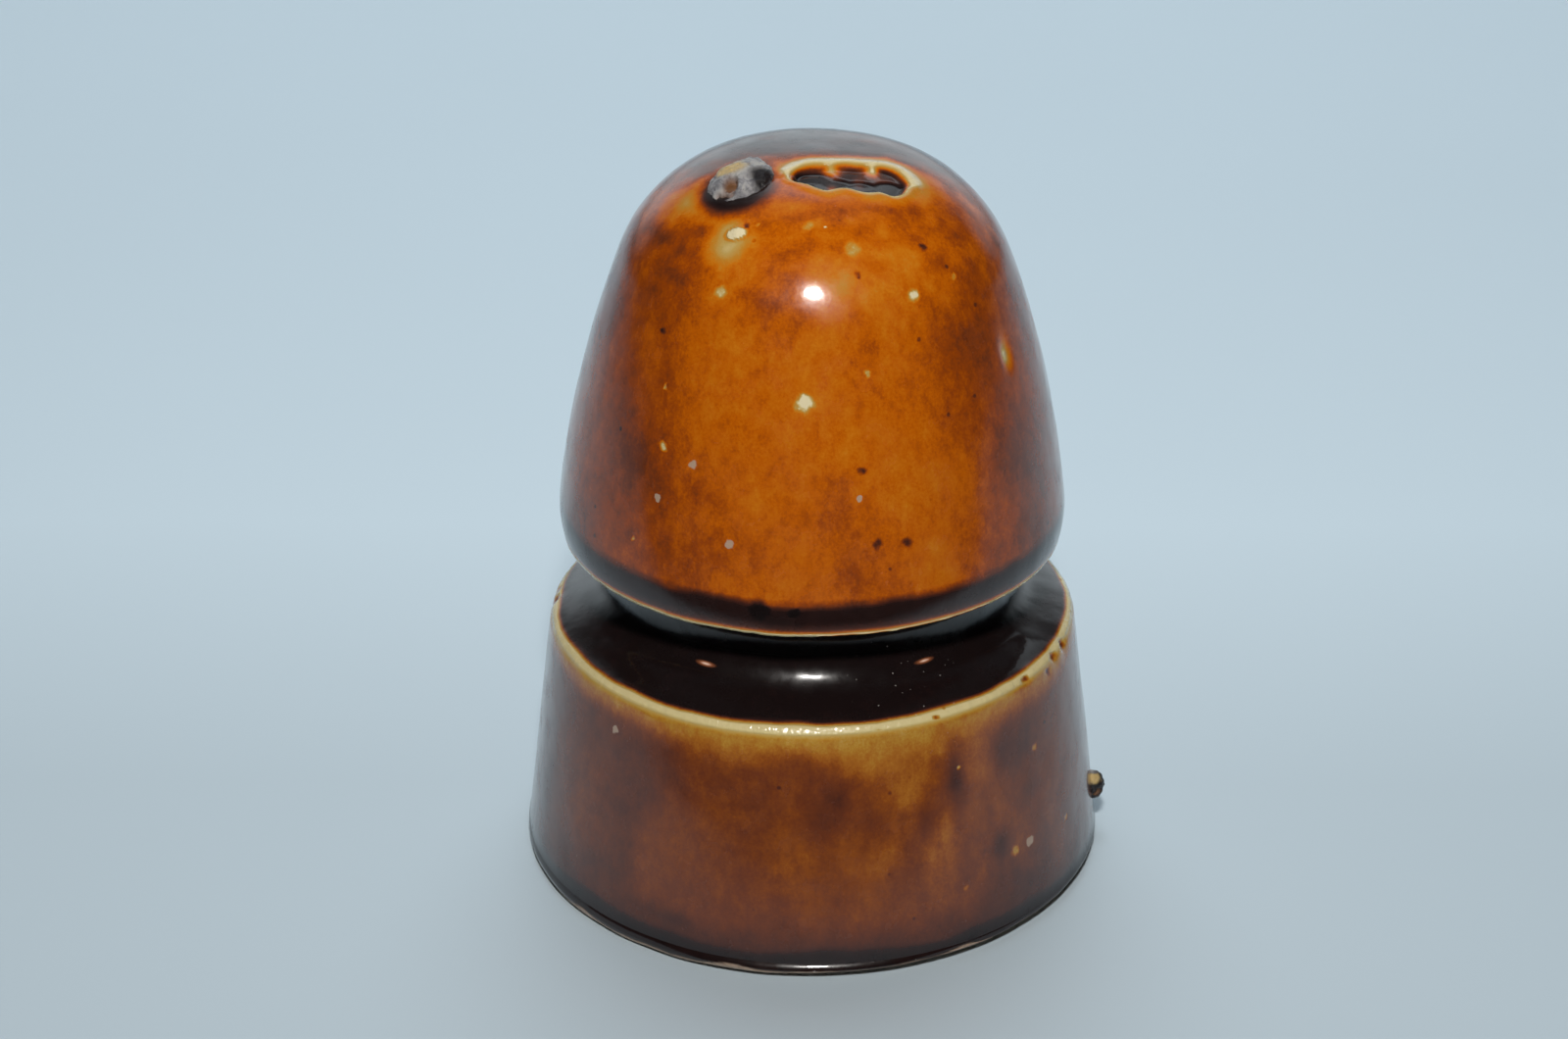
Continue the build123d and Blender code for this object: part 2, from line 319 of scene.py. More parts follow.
def glaze_thickness(points, turns, along, zone_at, heights):
    """0 where the glaze is thin enough to show pale clay, 1 where it pools nearly black."""
    broad = wave_noise(points, 9.0, 11)
    middling = wave_noise(points, 3.5, 12)
    fine = wave_noise(points, 1.3, 13)
    dome = 0.42 + 0.0022 * (62 - heights) + 0.03 * broad + 0.02 * middling
    radius = np.hypot(points[:, 0], points[:, 1])
    dome += 0.15 * smooth_step(np.abs(turns - 3), 18, 62) * smooth_step(radius, 10, 19)
    upper = smooth_step(heights, 63.0, 71.0)
    dome += upper * (0.04 + 0.025 * middling + 0.05 * fine)
    dome += 0.38 * smooth_step(points[:, 1], -4.5, 2.0) * smooth_step(heights, 70.0, 74.5)
    for turn, z, size, change in DOME_BLOTCHES:
        away = np.linalg.norm(points - on_surface(turn, surface_radius(z), z), axis=1) + 0.6 * middling
        dome += change * np.exp(-(away / size) ** 2)
    to_halo = np.linalg.norm(points - GRIT_HALO, axis=1)
    dome += (0.80 - dome) * (1 - smooth_step(to_halo + 0.35 * middling + 0.2 * fine, 2.9, 5.2))
    dome += (0.97 - dome) * (1 - smooth_step(to_halo + 0.3 * middling, 2.6, 3.9))
    # the glaze ran down and pooled in a dark band above the dome's lower edge
    band_edge = 39.5 + 0.16 * middling + 0.10 * fine
    band = 0.90 - 0.12 * smooth_step(along, zone_at["arris"] - 1.9, zone_at["arris"] - 0.6)
    dome += (band - dome) * (1 - smooth_step(heights, band_edge - 0.75, band_edge + 0.45))
    past_rim = along - zone_at["crest"]
    ochre_reach = 2.6 + 0.9 * broad + 0.8 * middling + 1.0 * np.exp(-((turns - 16) / 14) ** 2)
    ochre_reach *= 0.35 + 0.65 * np.clip(np.cos(np.radians(turns - 10)), 0, 1)
    streaky = wave_noise(points * np.array([1.0, 1.0, 0.45]), 2.6, 14)
    skirt = 0.05 + 0.25 * smooth_step(past_rim, 0.05, 0.95)
    skirt = skirt + 0.31 * smooth_step(past_rim, 0.9, ochre_reach + 1.6)
    skirt += 0.05 * smooth_step(np.abs(turns - 12), 25, 75)
    skirt += smooth_step(past_rim, 1.2, 4.0) * (0.035 * broad + 0.035 * streaky + 0.015 * fine)
    for turn, z, half_width, half_height, change in SKIRT_BLOTCHES:
        across = (turns - turn) * math.radians(1) * SKIRT_RADIUS + 0.8 * middling
        up = heights - z + 0.6 * broad
        skirt += change * np.exp(-(across / half_width) ** 2 - (up / half_height) ** 2)
    foot_edge = heights + 0.35 * broad + 0.15 * middling
    skirt += (0.78 - skirt) * (1 - smooth_step(foot_edge, 2.8, 6.6)) * 0.85
    skirt += (0.97 - skirt) * (1 - smooth_step(foot_edge, 2.2, 3.6))
    glaze = np.where(along < zone_at["arris"], dome, 1.0)
    glaze = np.where(along > zone_at["crest"], skirt, glaze)
    # thin along the dome's lower edge and the rim's crest
    to_arris = along - zone_at["arris"] + 0.10
    arris_line = np.exp(-np.abs(to_arris / (0.27 + 0.05 * fine)) ** 4)
    arris_glow = np.exp(-((to_arris + 0.25) / 0.30) ** 2)
    glaze = glaze * (1 - 0.55 * arris_glow * (along < zone_at["arris"]))
    glaze = glaze * (1 - 0.97 * arris_line)
    inner_edge = zone_at["lip"] + 0.28 + 0.10 * middling + 0.05 * fine
    on_rim = smooth_step(along, inner_edge - 0.40, inner_edge + 0.45) * (along <= zone_at["crest"])
    glaze = glaze * (1 - on_rim) + 0.05 * on_rim
    return glaze


def press_stamp(points, top, bump, glaze):
    """Sinks the stamp's recess into the dome and lays its cream edge, dark pools and pale mounds."""
    ragged = 0.10 * wave_noise(points, 2.4, 23) + 0.07 * wave_noise(points, 0.9, 24)
    stamp = np.where(top, stamp_distance(points) + ragged, OFF_STAMP)
    pools = np.where(top, pool_distance(points) + 0.5 * ragged, OFF_STAMP)
    near = stamp < OFF_STAMP / 2
    bump -= STAMP_DEPTH * smooth_step(-stamp, -0.1, 0.8)
    bump += 0.12 * np.exp(-((stamp - 0.5) / 0.45) ** 2)
    behind = smooth_step(points[:, 1], STAMP_CENTRE[1] - 0.3, STAMP_CENTRE[1] + 1.6)
    uneven = 0.85 + 0.15 * wave_noise(points, 3.0, 25)
    cream_middle = 0.10 + 0.60 * behind
    cream_half = (0.28 + 0.82 * behind) * uneven
    stamp_edge = np.exp(-np.abs((stamp - cream_middle) / cream_half) ** 2.4)
    stamp_glow = np.exp(-(np.maximum(stamp - 0.3, 0) / (1.2 + 0.6 * behind)) ** 2)
    inside = smooth_step(-stamp, 0.0, 0.55)
    pool = smooth_step(-pools, -0.30, 0.22)
    glaze = glaze * (1 - 0.40 * stamp_glow * near)
    glaze = glaze * (1 - (0.74 + 0.16 * behind) * stamp_edge)
    wall = 0.84 - 0.06 * behind + 0.08 * wave_noise(points, 1.0, 21)
    filled = wall * (1 - pool) + 0.99 * pool
    glaze = glaze * (1 - inside) + filled * inside
    for place_along, place_across, size, strength in STAMP_MOUNDS:
        away = mound_distance(points, place_along, place_across)
        mound = strength * np.exp(-(away / size) ** 2) * near
        glaze = glaze * (1 - mound)
        bump += 0.16 * inside * mound
    bump -= 0.16 * inside * pool
    return bump, glaze


def raise_pimple(points, bump, glaze):
    """A small bubble at the dome's left, with a pale core, a dark ring and a pale halo."""
    away = np.linalg.norm(points - PIMPLE, axis=1)
    bump += 0.28 * np.exp(-(away / 0.8) ** 2)
    to_halo = np.linalg.norm(points - PIMPLE - np.array([-0.7, -0.35, -0.3]), axis=1)
    flattened = np.linalg.norm((points - PIMPLE) * np.array([0.75, 1.3, 1.3]), axis=1)
    glaze += 0.16 * np.exp(-((flattened - 0.98) / 0.16) ** 2)
    glaze -= 0.62 * np.exp(-(flattened / 0.72) ** 4) + 0.29 * np.exp(-(to_halo / 2.2) ** 3)
    return bump, glaze


def chip_glaze(points, turns, past_crest, bump, glaze):
    """The rim's dark chips and one long pale chip on the dome."""
    chip_mask = np.zeros(len(points))
    for turn, offset, size, depth in RIM_CHIPS:
        across = (turns - turn) * math.radians(1) * RIM_RADIUS
        away = np.hypot(across, past_crest - offset)
        hollow = np.exp(-(away / size) ** 2)
        bump -= depth * hollow
        chip_mask = np.maximum(chip_mask, hollow)
    to_chip = (points - DOME_CHIP) * np.array([1.0, 1.0, 0.5])
    dome_chip = np.exp(-(np.linalg.norm(to_chip, axis=1) / 0.70) ** 2)
    bump -= 0.35 * dome_chip
    glaze -= 0.60 * dome_chip
    glaze = np.where(chip_mask > 0.25, glaze + 0.5 * smooth_step(chip_mask, 0.45, 0.9), glaze)
    return bump, glaze


def bare_foot(points, turns, height):
    """1 where the foot is bare clay and 0 above, with the glaze's edge uneven and skipping in places."""
    bare_top = 0.56 + 0.05 * wave_noise(points, 1.2, 31) + 0.08 * wave_noise(points, 7.0, 32)
    for turn, width in FOOT_SKIPS:
        bare_top += 0.45 * np.exp(-((turns - turn) / width) ** 2)
    return smooth_step(bare_top - height, -0.10, 0.10)


def socket_points():
    """The hollow skirt's and the socket's corners, with the thread cut, ring by ring from the foot up."""
    r, z, angle = rings(inside_profile(), AROUND_INSIDE)
    r = r + np.where(r > SOCKET_RADIUS - 0.5, thread_groove(angle - math.pi / 2, z), 0)
    return np.column_stack([r * np.sin(angle), -r * np.cos(angle), z])


def foot_seam(last, count):
    """Faces that join the outside's last ring to the inside's first, which has a quarter of its corners."""
    faces = []
    for k in range(AROUND_INSIDE):
        n = (k + 1) % AROUND_INSIDE
        edge = [last + (4 * k + i) % AROUND for i in range(5)]
        faces.append((edge[0], count + k, edge[1]))
        faces.append((edge[1], count + k, edge[2]))
        faces.append((edge[2], count + k, count + n))
        faces.append((edge[2], count + n, edge[3]))
        faces.append((edge[3], count + n, edge[4]))
    return faces


def ceramic_mesh():
    """The whole ceramic as one closed mesh, with its glaze thickness and bare clay as attributes."""
    rows = len(OUTSIDE)
    steps = np.hypot(*np.diff(OUTSIDE, axis=0).T)
    run = np.concatenate([[0.0], np.cumsum(steps)])
    zone_at = {name: run[index] for name, index in ZONES.items()}
    slopes = np.gradient(OUTSIDE, axis=0)
    slopes /= np.linalg.norm(slopes, axis=1)[:, None]
    radius, height, angle = rings(OUTSIDE, AROUND)
    along = np.repeat(run, AROUND)
    out_r = np.repeat(-slopes[:, 1], AROUND)
    out_z = np.repeat(slopes[:, 0], AROUND)
    turns = np.degrees((angle + math.pi) % (2 * math.pi) - math.pi)

    def placed(r, z):
        return np.column_stack([r * np.sin(angle), -r * np.cos(angle), z])

    points = placed(radius, height)
    bump = 0.10 * wave_noise(points, 22.0, 1) + 0.035 * wave_noise(points, 6.0, 2)
    bump = bump + 0.012 * wave_noise(points, 2.2, 3)
    near_arris = np.exp(-((along - zone_at["arris"]) / 0.5) ** 2)
    near_crest = np.exp(-((along - zone_at["crest"]) / 0.9) ** 2)
    nicks = 0.03 * wave_noise(points, 0.7, 4) + 0.04 * wave_noise(points, 2.6, 5)
    bump += (near_arris + near_crest) * nicks
    bump *= smooth_step(radius, 0.0, 3.0)
    glaze = glaze_thickness(points, turns, along, zone_at, height)
    bump, glaze = press_stamp(points, along < zone_at["arris"] * 0.5, bump, glaze)
    bump, glaze = raise_pimple(points, bump, glaze)
    bump, glaze = chip_glaze(points, turns, along - zone_at["crest"], bump, glaze)

    # the glaze stopped in a round bead just above the bare foot
    skirt = along > zone_at["rim"]
    bump += skirt * BEAD_RISE * np.exp(-((height - BEAD_Z) / 0.35) ** 2)
    bump -= skirt * BEAD_DIP * np.exp(-((height - BEAD_Z - 0.9) / 0.7) ** 2)
    bare = bare_foot(points, turns, height) * skirt

    # the foot is ground off a little higher at the front right
    foot_lift = 0.85 * np.clip(np.cos(np.radians(turns - 48)), 0, 1) ** 1.5
    reach = smooth_step(along, zone_at["widest"] - 2.0, zone_at["foot"])
    reach = reach * (1 - smooth_step(along, zone_at["foot"], run[-1]))
    bump *= 1 - smooth_step(along, zone_at["foot"] - 1.2, zone_at["foot"] - 0.2)
    lift = foot_lift * reach + 0.06 * reach * (1 + wave_noise(points, 3.0, 6))

    # and the rim leans a little to the left
    above_crest = smooth_step(along, zone_at["lip"] - 4.0, zone_at["lip"])
    below_crest = 1 - smooth_step(along, zone_at["rim"], zone_at["rim"] + 12.0)
    near_rim = np.where(along < zone_at["crest"], above_crest, below_crest)
    lift += RIM_TILT * near_rim * np.sin(np.radians(turns))

    outside = placed(radius + bump * out_r, height + bump * out_z + lift)
    inside = socket_points()
    inside_rows = len(inside) // AROUND_INSIDE
    count = len(outside)
    top_point = count + len(inside)
    all_points = np.vstack([outside, inside, [[0, 0, HEIGHT]], [[0, 0, SOCKET_TOP_Z]]])
    faces = ring_faces(0, rows, AROUND)
    faces += top_fan(top_point, AROUND)
    faces += foot_seam((rows - 1) * AROUND, count)
    faces += ring_faces(count, inside_rows, AROUND_INSIDE)
    faces += end_fan(top_point + 1, count + (inside_rows - 1) * AROUND_INSIDE, AROUND_INSIDE)

    hidden_glaze = np.full(len(inside) + 2, 0.8)
    hidden_glaze[-2] = glaze[0]
    hidden_bare = np.where(np.append(inside[:, 2], [99, 99]) < 1.5, 1.0, 0.0)
    thing = new_object("glazed_ceramic", all_points, faces)
    add_attribute(thing.data, "glaze", np.clip(np.concatenate([glaze, hidden_glaze]), 0, 1))
    add_attribute(thing.data, "bare", np.concatenate([bare, hidden_bare]))
    return thing


ceramic = ceramic_mesh()


# -------------------- node tools
def linear(red, green, blue):
    """A colour given as 0-255 screen values, as the linear values that shaders take."""
    parts = [value / 255 for value in (red, green, blue)]
    return tuple(p / 12.92 if p <= 0.04045 else ((p + 0.055) / 1.055) ** 2.4 for p in parts) + (1.0,)


WOBBLE = 0.9  # how far, and over what distance, a blot's edge wanders


class Nodes:
    """One material's nodes: each call adds a node and gives its output."""

    def __init__(self, name):
        self.material = bpy.data.materials.new(name)
        self.material.use_nodes = True
        self.tree = self.material.node_tree
        self.tree.nodes.clear()
        self.shader = self.tree.nodes.new("ShaderNodeBsdfPrincipled")
        self.output = self.tree.nodes.new("ShaderNodeOutputMaterial")
        self.tree.links.new(self.shader.outputs[0], self.output.inputs["Surface"])
        self.place = self.tree.nodes.new("ShaderNodeTexCoord").outputs["Object"]
        self.wobbly = None

    def fill(self, socket, value):
        if isinstance(value, bpy.types.NodeSocket):
            self.tree.links.new(value, socket)
        else:
            socket.default_value = value

    def add(self, kind, settings, inputs, output=0):
        made = self.tree.nodes.new(kind)
        for key, value in settings.items():
            setattr(made, key, value)
        for key, value in inputs.items():
            self.fill(made.inputs[key], value)
        return made.outputs[output]

    def set(self, **sockets):
        for key, value in sockets.items():
            self.fill(self.shader.inputs[key.replace("_", " ")], value)

    def attribute(self, name):
        return self.add("ShaderNodeAttribute", {"attribute_name": name}, {}, "Fac")

    def maths(self, operation, first, second=0.0, clamp=False):
        return self.add("ShaderNodeMath", {"operation": operation, "use_clamp": clamp}, {0: first, 1: second})

    def times(self, first, second):
        return self.maths("MULTIPLY", first, second)

    def plus(self, first, second):
        return self.maths("ADD", first, second)

    def most(self, first, second):
        return self.maths("MAXIMUM", first, second)

    def vectors(self, operation, first, second):
        return self.add("ShaderNodeVectorMath", {"operation": operation}, {0: first, 1: second})

    def length(self, vector):
        return self.add("ShaderNodeVectorMath", {"operation": "LENGTH"}, {0: vector}, "Value")

    def coordinate(self, axis):
        """The object's own X, Y or Z, in metres."""
        return self.add("ShaderNodeSeparateXYZ", {}, {0: self.place}, axis)

    def sum_of(self, base, *terms):
        """base plus each (signal, weight), a signal of 0 to 1 counting from its middle."""
        total = base
        for signal, weight in terms:
            inputs = {0: signal, 1: weight, 2: -0.5 * weight}
            centred = self.add("ShaderNodeMath", {"operation": "MULTIPLY_ADD"}, inputs)
            total = self.plus(total, centred)
        return total

    def stretched(self, scale):
        return self.add("ShaderNodeMapping", {}, {"Vector": self.place, "Scale": scale})

    def noise(self, size_mm, detail=3.0, rough=0.55, place=None, warp=0.0):
        inputs = {"Vector": place or self.place, "Scale": 1 / (size_mm * MM)}
        inputs.update({"Detail": detail, "Roughness": rough, "Distortion": warp})
        return self.add("ShaderNodeTexNoise", {}, inputs)

    def between(self, value, low, high, to_low=0.0, to_high=1.0):
        inputs = {"Value": value, "From Min": low, "From Max": high, "To Min": to_low, "To Max": to_high}
        return self.add("ShaderNodeMapRange", {"interpolation_type": "SMOOTHSTEP"}, inputs)

    def dots(self, spacing_mm, radius_mm, share, seed):
        """Round dots at random: 1 at a dot's middle, 0 outside, in this share of the cells."""
        shifted = self.vectors("ADD", self.place, (seed, seed, seed))
        made = self.tree.nodes.new("ShaderNodeTexVoronoi")
        self.fill(made.inputs["Vector"], shifted)
        made.inputs["Scale"].default_value = 1 / (spacing_mm * MM)
        reach = radius_mm / spacing_mm
        dot = self.between(made.outputs["Distance"], reach, reach * 0.4)
        chance = self.add("ShaderNodeSeparateColor", {}, {0: made.outputs["Color"]})
        chosen = self.maths("LESS_THAN", chance, share)
        return self.times(dot, chosen)

    def spot(self, centre_mm, radius_mm, core, squash=(1, 1, 1), steady=False):
        """A blot around a point: 1 out to the core's share of its radius, then falling to 0.

        Its edge wobbles unless it is steady."""
        centre = tuple(c * MM for c in centre_mm)
        if self.wobbly is None:
            scale = 1 / (WOBBLE * MM)
            shake = self.add("ShaderNodeTexNoise", {}, {"Vector": self.place, "Scale": scale}, "Color")
            inputs = {0: shake, 1: (WOBBLE * MM,) * 3, 2: (-0.5 * WOBBLE * MM,) * 3}
            self.wobbly = self.add("ShaderNodeVectorMath", {"operation": "MULTIPLY_ADD"}, inputs)
            self.wobbly = self.vectors("ADD", self.place, self.wobbly)
        apart = self.vectors("SUBTRACT", self.place if steady else self.wobbly, centre)
        away = self.length(self.vectors("MULTIPLY", apart, squash))
        return self.between(away, radius_mm * MM, core * radius_mm * MM)

    def ramp(self, value, stops):
        made = self.tree.nodes.new("ShaderNodeValToRGB")
        self.fill(made.inputs[0], value)
        points = made.color_ramp.elements
        while len(points) < len(stops):
            points.new(0.5)
        for point, (at, colour) in zip(points, stops):
            point.position = at
            point.color = colour
        return made.outputs[0]

    def screen_ramp(self, value, stops):
        """A ramp whose colours are given as 0-255 screen values."""
        return self.ramp(value, [(at, linear(*colour)) for at, colour in stops])

    def blend(self, amount, first, second):
        return self.add("ShaderNodeMix", {"data_type": "RGBA"}, {0: amount, 6: first, 7: second}, 2)

    def bump(self, height, distance_mm, strength, under=None):
        inputs = {"Height": height, "Distance": distance_mm * MM, "Strength": strength}
        if under is not None:
            inputs["Normal"] = under
        return self.add("ShaderNodeBump", {}, inputs)


# -------------------- materials
# pale pinholes in the glaze: turn from the front, height, radius and strength
PALE_SPOTS = [
    (-28.7, 67.7, 0.60, 0.6), (31.2, 67.3, 0.66, 1.0), (-2.1, 58.8, 0.95, 1.0), (-38.1, 52.7, 0.48, 1.0),
    (-43.5, 42.8, 0.32, 1.0), (-40.5, 58.2, 0.28, 0.9), (-24.0, 72.9, 0.26, 0.5), (-2.5, 73.1, 0.60, 0.45),
    (5.0, 73.0, 0.20, 0.9), (14.0, 71.5, 0.85, 0.45), (14.5, 61.2, 0.30, 0.8), (47.6, 67.8, 0.35, 0.6),
    (53.2, 18.9, 0.42, 0.8), (31.6, 20.6, 0.26, 1.1), (44.7, 9.2, 0.62, 0.8), (31.8, 7.6, 0.4, 0.45),
    (63.4, 8.6, 0.40, 0.7),
]
# flat grey flecks and dark specks: turn from the front, height and radius
GREY_SPOTS = [
    (-29.0, 51.8, 0.40), (-18.8, 44.9, 0.42), (-38.0, 47.7, 0.36), (10.8, 49.7, 0.30), (-45.4, 22.2, 0.42),
    (49.3, 9.4, 0.5),
]
DARK_SPOTS = [
    (-28.5, 72.7, 0.40), (41.1, 70.6, 0.50), (14.3, 69.6, 0.40), (-45.0, 62.9, 0.40), (11.5, 52.4, 0.45),
    (14.3, 45.2, 0.60), (21.4, 45.0, 0.60), (-11.4, 38.8, 1.10), (-3.9, 38.7, 0.55),
]
# painted highlights: warm streaks on the groove's lower side that paint the flash's reflections there; turn,
# height and distance from the centre line
NECK_PAINTED_GLINTS = [(-29.6, 29.2, 21.0), (31.9, 29.3, 21.0)]
DUST_PLACE = on_surface(24, 23.2, 27.6)
# screen colours of the glaze from thin to thick, on the dome and on the skirt
DOME_GLAZE = [
    (0.00, (222, 208, 170)), (0.06, (208, 190, 140)), (0.13, (184, 152, 84)), (0.22, (186, 128, 44)),
    (0.34, (196, 112, 18)), (0.45, (186, 90, 4)), (0.55, (150, 66, 10)), (0.65, (108, 50, 22)),
    (0.76, (70, 36, 26)), (0.88, (40, 24, 22)), (1.00, (24, 17, 17)),
]
SKIRT_GLAZE = [
    (0.00, (222, 208, 168)), (0.07, (212, 194, 138)), (0.15, (190, 158, 88)), (0.26, (182, 134, 50)),
    (0.38, (168, 102, 32)), (0.50, (142, 74, 24)), (0.62, (114, 56, 28)), (0.74, (82, 42, 30)),
    (0.86, (48, 28, 26)), (1.00, (26, 18, 18)),
]


def surface_spot(turn, height):
    """A point on the dome or the skirt."""
    return on_surface(turn, surface_radius(height), height)


def glaze_material():
    m = Nodes("amber_glaze")
    streaks = m.stretched((1.0, 1.0, 0.65))
    broad = m.noise(6.0, 3.0, 0.55, streaks, 0.3)
    small = m.noise(1.2, 5.0, 0.7, streaks)
    grain = m.noise(0.28, 3.0, 0.6)
    base = m.attribute("glaze")
    # the thick pools hardly vary and the middling coats mottle most
    swing = m.between(base, 0.12, 0.35)
    swing = m.times(swing, m.between(base, 0.80, 0.48, 0.35, 1.0))
    mottle = m.sum_of(0.0, (broad, 0.26), (small, 0.34), (grain, 0.20))
    thickness = m.plus(base, m.times(mottle, swing))
    pale = m.times(m.dots(5.5, 0.16, 0.10, 0.3), 0.6)
    for turn, height, radius, strength in PALE_SPOTS:
        blot = m.spot(surface_spot(turn, height), radius * 1.3, 0.25)
        pale = m.most(pale, m.times(blot, strength))
    dark = m.times(m.dots(2.6, 0.30, 0.20, 0.7), 0.55)
    for turn, height, radius in DARK_SPOTS:
        dark = m.most(dark, m.spot(surface_spot(turn, height), radius * 1.3, 0.1))
    thickness = m.plus(thickness, m.times(dark, 0.30))
    thickness = m.maths("SUBTRACT", thickness, m.times(pale, 0.48), clamp=True)
    colour = m.screen_ramp(thickness, DOME_GLAZE)
    level = m.coordinate("Z")
    on_skirt = m.between(level, (RIM_Z + 2.5) * MM, (RIM_Z + 1.5) * MM)
    colour = m.blend(on_skirt, colour, m.screen_ramp(thickness, SKIRT_GLAZE))
    dust = m.times(m.spot(DUST_PLACE, 7.5, 0.35), m.dots(0.75, 0.10, 0.55, 0.11))
    sparse_dust = m.times(m.between(base, 0.93, 0.99), m.dots(2.2, 0.09, 0.35, 0.23))
    dust = m.most(dust, sparse_dust)
    colour = m.blend(m.times(dust, 0.55), colour, linear(190, 186, 180))
    grey = 0.0
    for turn, height, radius in GREY_SPOTS:
        grey = m.most(grey, m.spot(surface_spot(turn, height), radius * 1.2, 0.75))
    colour = m.blend(m.times(grey, 0.9), colour, linear(176, 152, 132))
    # painted highlights: warm and pale streaks painted where the flash is mirrored in the groove
    for turn, height, radius in NECK_PAINTED_GLINTS:
        centre = on_surface(turn, radius, height)
        colour = m.blend(m.spot(centre, 1.1, 0.1, (0.8, 0.8, 4.0), True), colour, linear(176, 104, 66))
        colour = m.blend(m.spot(centre, 0.6, 0.1, (0.8, 0.8, 4.5), True), colour, linear(236, 206, 186))
    clay = m.blend(m.noise(1.2, 5.0, 0.65), linear(142, 112, 90), linear(200, 178, 158))
    bare = m.attribute("bare")
    colour = m.blend(bare, colour, clay)
    rough = m.between(m.noise(3.0, 4.0), 0.35, 0.7, 0.18, 0.30)
    rough = m.plus(rough, m.times(bare, 0.5))
    relief = m.sum_of(0.0, (m.noise(2.4, 2.0), 1.0), (m.noise(0.5, 2.0), 0.12), (m.noise(0.16, 2.0), 0.05))
    relief = m.maths("SUBTRACT", relief, pale)
    grit = m.times(m.noise(0.3, 4.0, 0.7), bare)
    # the glaze's lower edge is a rounded roll, and the pale rim is finely uneven
    roll_inputs = {"Value": level, "From Min": 1.1 * MM, "From Max": 1.9 * MM, "To Min": 1.0, "To Max": 0.0}
    roll = m.add("ShaderNodeMapRange", {}, roll_inputs)
    sideways = m.maths("ABSOLUTE", m.coordinate("X"))
    roll = m.times(roll, m.between(sideways, 16 * MM, 6 * MM, 0.3, 1.0))
    rim_relief = m.times(m.noise(0.6, 2.0), m.between(base, 0.16, 0.06))
    normal = m.bump(relief, 0.05, 0.6)
    normal = m.bump(roll, 0.57, 1.0, normal)
    normal = m.bump(rim_relief, 0.16, 0.8, normal)
    normal = m.bump(grit, 0.25, 0.7, normal)
    dull = m.spot(DULL_PATCH, 6.5, 0.1)
    coat_rough = m.plus(0.045, m.times(dull, 0.06))
    m.set(Base_Color=colour, Roughness=rough, Normal=normal, IOR=1.35)
    m.set(Coat_Weight=0.6, Coat_Roughness=coat_rough, Coat_Normal=normal, Coat_IOR=1.5)
    return m.material


def grit_material():
    m = Nodes("fused_kiln_grit")
    patches = m.noise(1.5, 4.0, 0.6, None, 0.8)
    seams = m.maths("ABSOLUTE", m.maths("SUBTRACT", m.noise(1.1, 3.0, 0.6, None, 0.6), 0.5))
    seams = m.between(seams, 0.012, 0.0)
    dark = m.maths("ADD", m.attribute("dark"), m.between(patches, 0.34, 0.30), clamp=True)
    dark = m.most(dark, m.times(seams, 0.6))
    greys = [(0.35, (112, 110, 114)), (0.5, (150, 148, 150)), (0.7, (184, 180, 174))]
    body = m.screen_ramp(patches, greys)
    colour = m.blend(dark, body, linear(30, 26, 28))
    colour = m.blend(m.attribute("cream"), colour, linear(196, 168, 112))
    colour = m.blend(m.attribute("pit"), colour, m.blend(patches, linear(70, 42, 28), linear(150, 104, 66)))
    rough = m.between(patches, 0.35, 0.65, 0.14, 0.40)
    normal = m.bump(m.noise(0.6, 6.0, 0.75), 0.30, 0.8)
    m.set(Base_Color=colour, Roughness=rough, Normal=normal, IOR=1.5)
    return m.material


def wood_material():
    m = Nodes("turned_hardwood")
    ring_inputs = {"Vector": m.stretched((1.0, 1.0, 0.08)), "Scale": 75.0}
    ring_inputs.update({"Distortion": 3.5, "Detail": 3.0, "Detail Scale": 1.5})
    year_rings = m.add("ShaderNodeTexWave", {"wave_type": "RINGS", "rings_direction": "Z"}, ring_inputs)
    fibres = m.noise(0.5, 5.0, 0.65, m.stretched((1.0, 1.0, 0.06)))
    grain = m.sum_of(year_rings, (fibres, 0.7))
    colour = m.screen_ramp(grain, [(0.0, (92, 60, 36)), (0.5, (136, 94, 58)), (1.0, (168, 124, 80))])
    dirt = m.between(m.noise(5.0, 4.0, 0.6), 0.5, 0.75)
    colour = m.blend(m.times(dirt, 0.5), colour, linear(64, 44, 30))
    rough = m.between(fibres, 0.3, 0.7, 0.42, 0.62)
    m.set(Base_Color=colour, Roughness=rough, Normal=m.bump(grain, 0.12, 0.5))
    return m.material


def steel_material():
    m = Nodes("zinc_coated_steel")
    spangle = m.noise(1.5, 4.0, 0.6)
    colour = m.screen_ramp(spangle, [(0.3, (120, 122, 124)), (0.7, (176, 178, 178))])
    rust = m.between(m.noise(2.6, 5.0, 0.65), 0.58, 0.72)
    colour = m.blend(rust, colour, linear(112, 66, 38))
    metal = m.maths("SUBTRACT", 1.0, m.times(rust, 0.85))
    rough = m.between(spangle, 0.3, 0.7, 0.32, 0.5)
    m.set(Base_Color=colour, Metallic=metal, Roughness=rough, Normal=m.bump(m.noise(0.4, 3.0), 0.05, 0.5))
    return m.material


def felt_material():
    m = Nodes("pressed_felt")
    fibres = m.noise(0.35, 6.0, 0.75, None, 1.5)
    colour = m.screen_ramp(fibres, [(0.3, (54, 48, 42)), (0.7, (112, 102, 90))])
    m.set(Base_Color=colour, Roughness=0.95, Normal=m.bump(fibres, 0.3, 0.9), Sheen_Weight=0.4)
    return m.material


ceramic.data.materials.append(glaze_material())
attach(ceramic, "insulator")
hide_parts("ceramic_body")


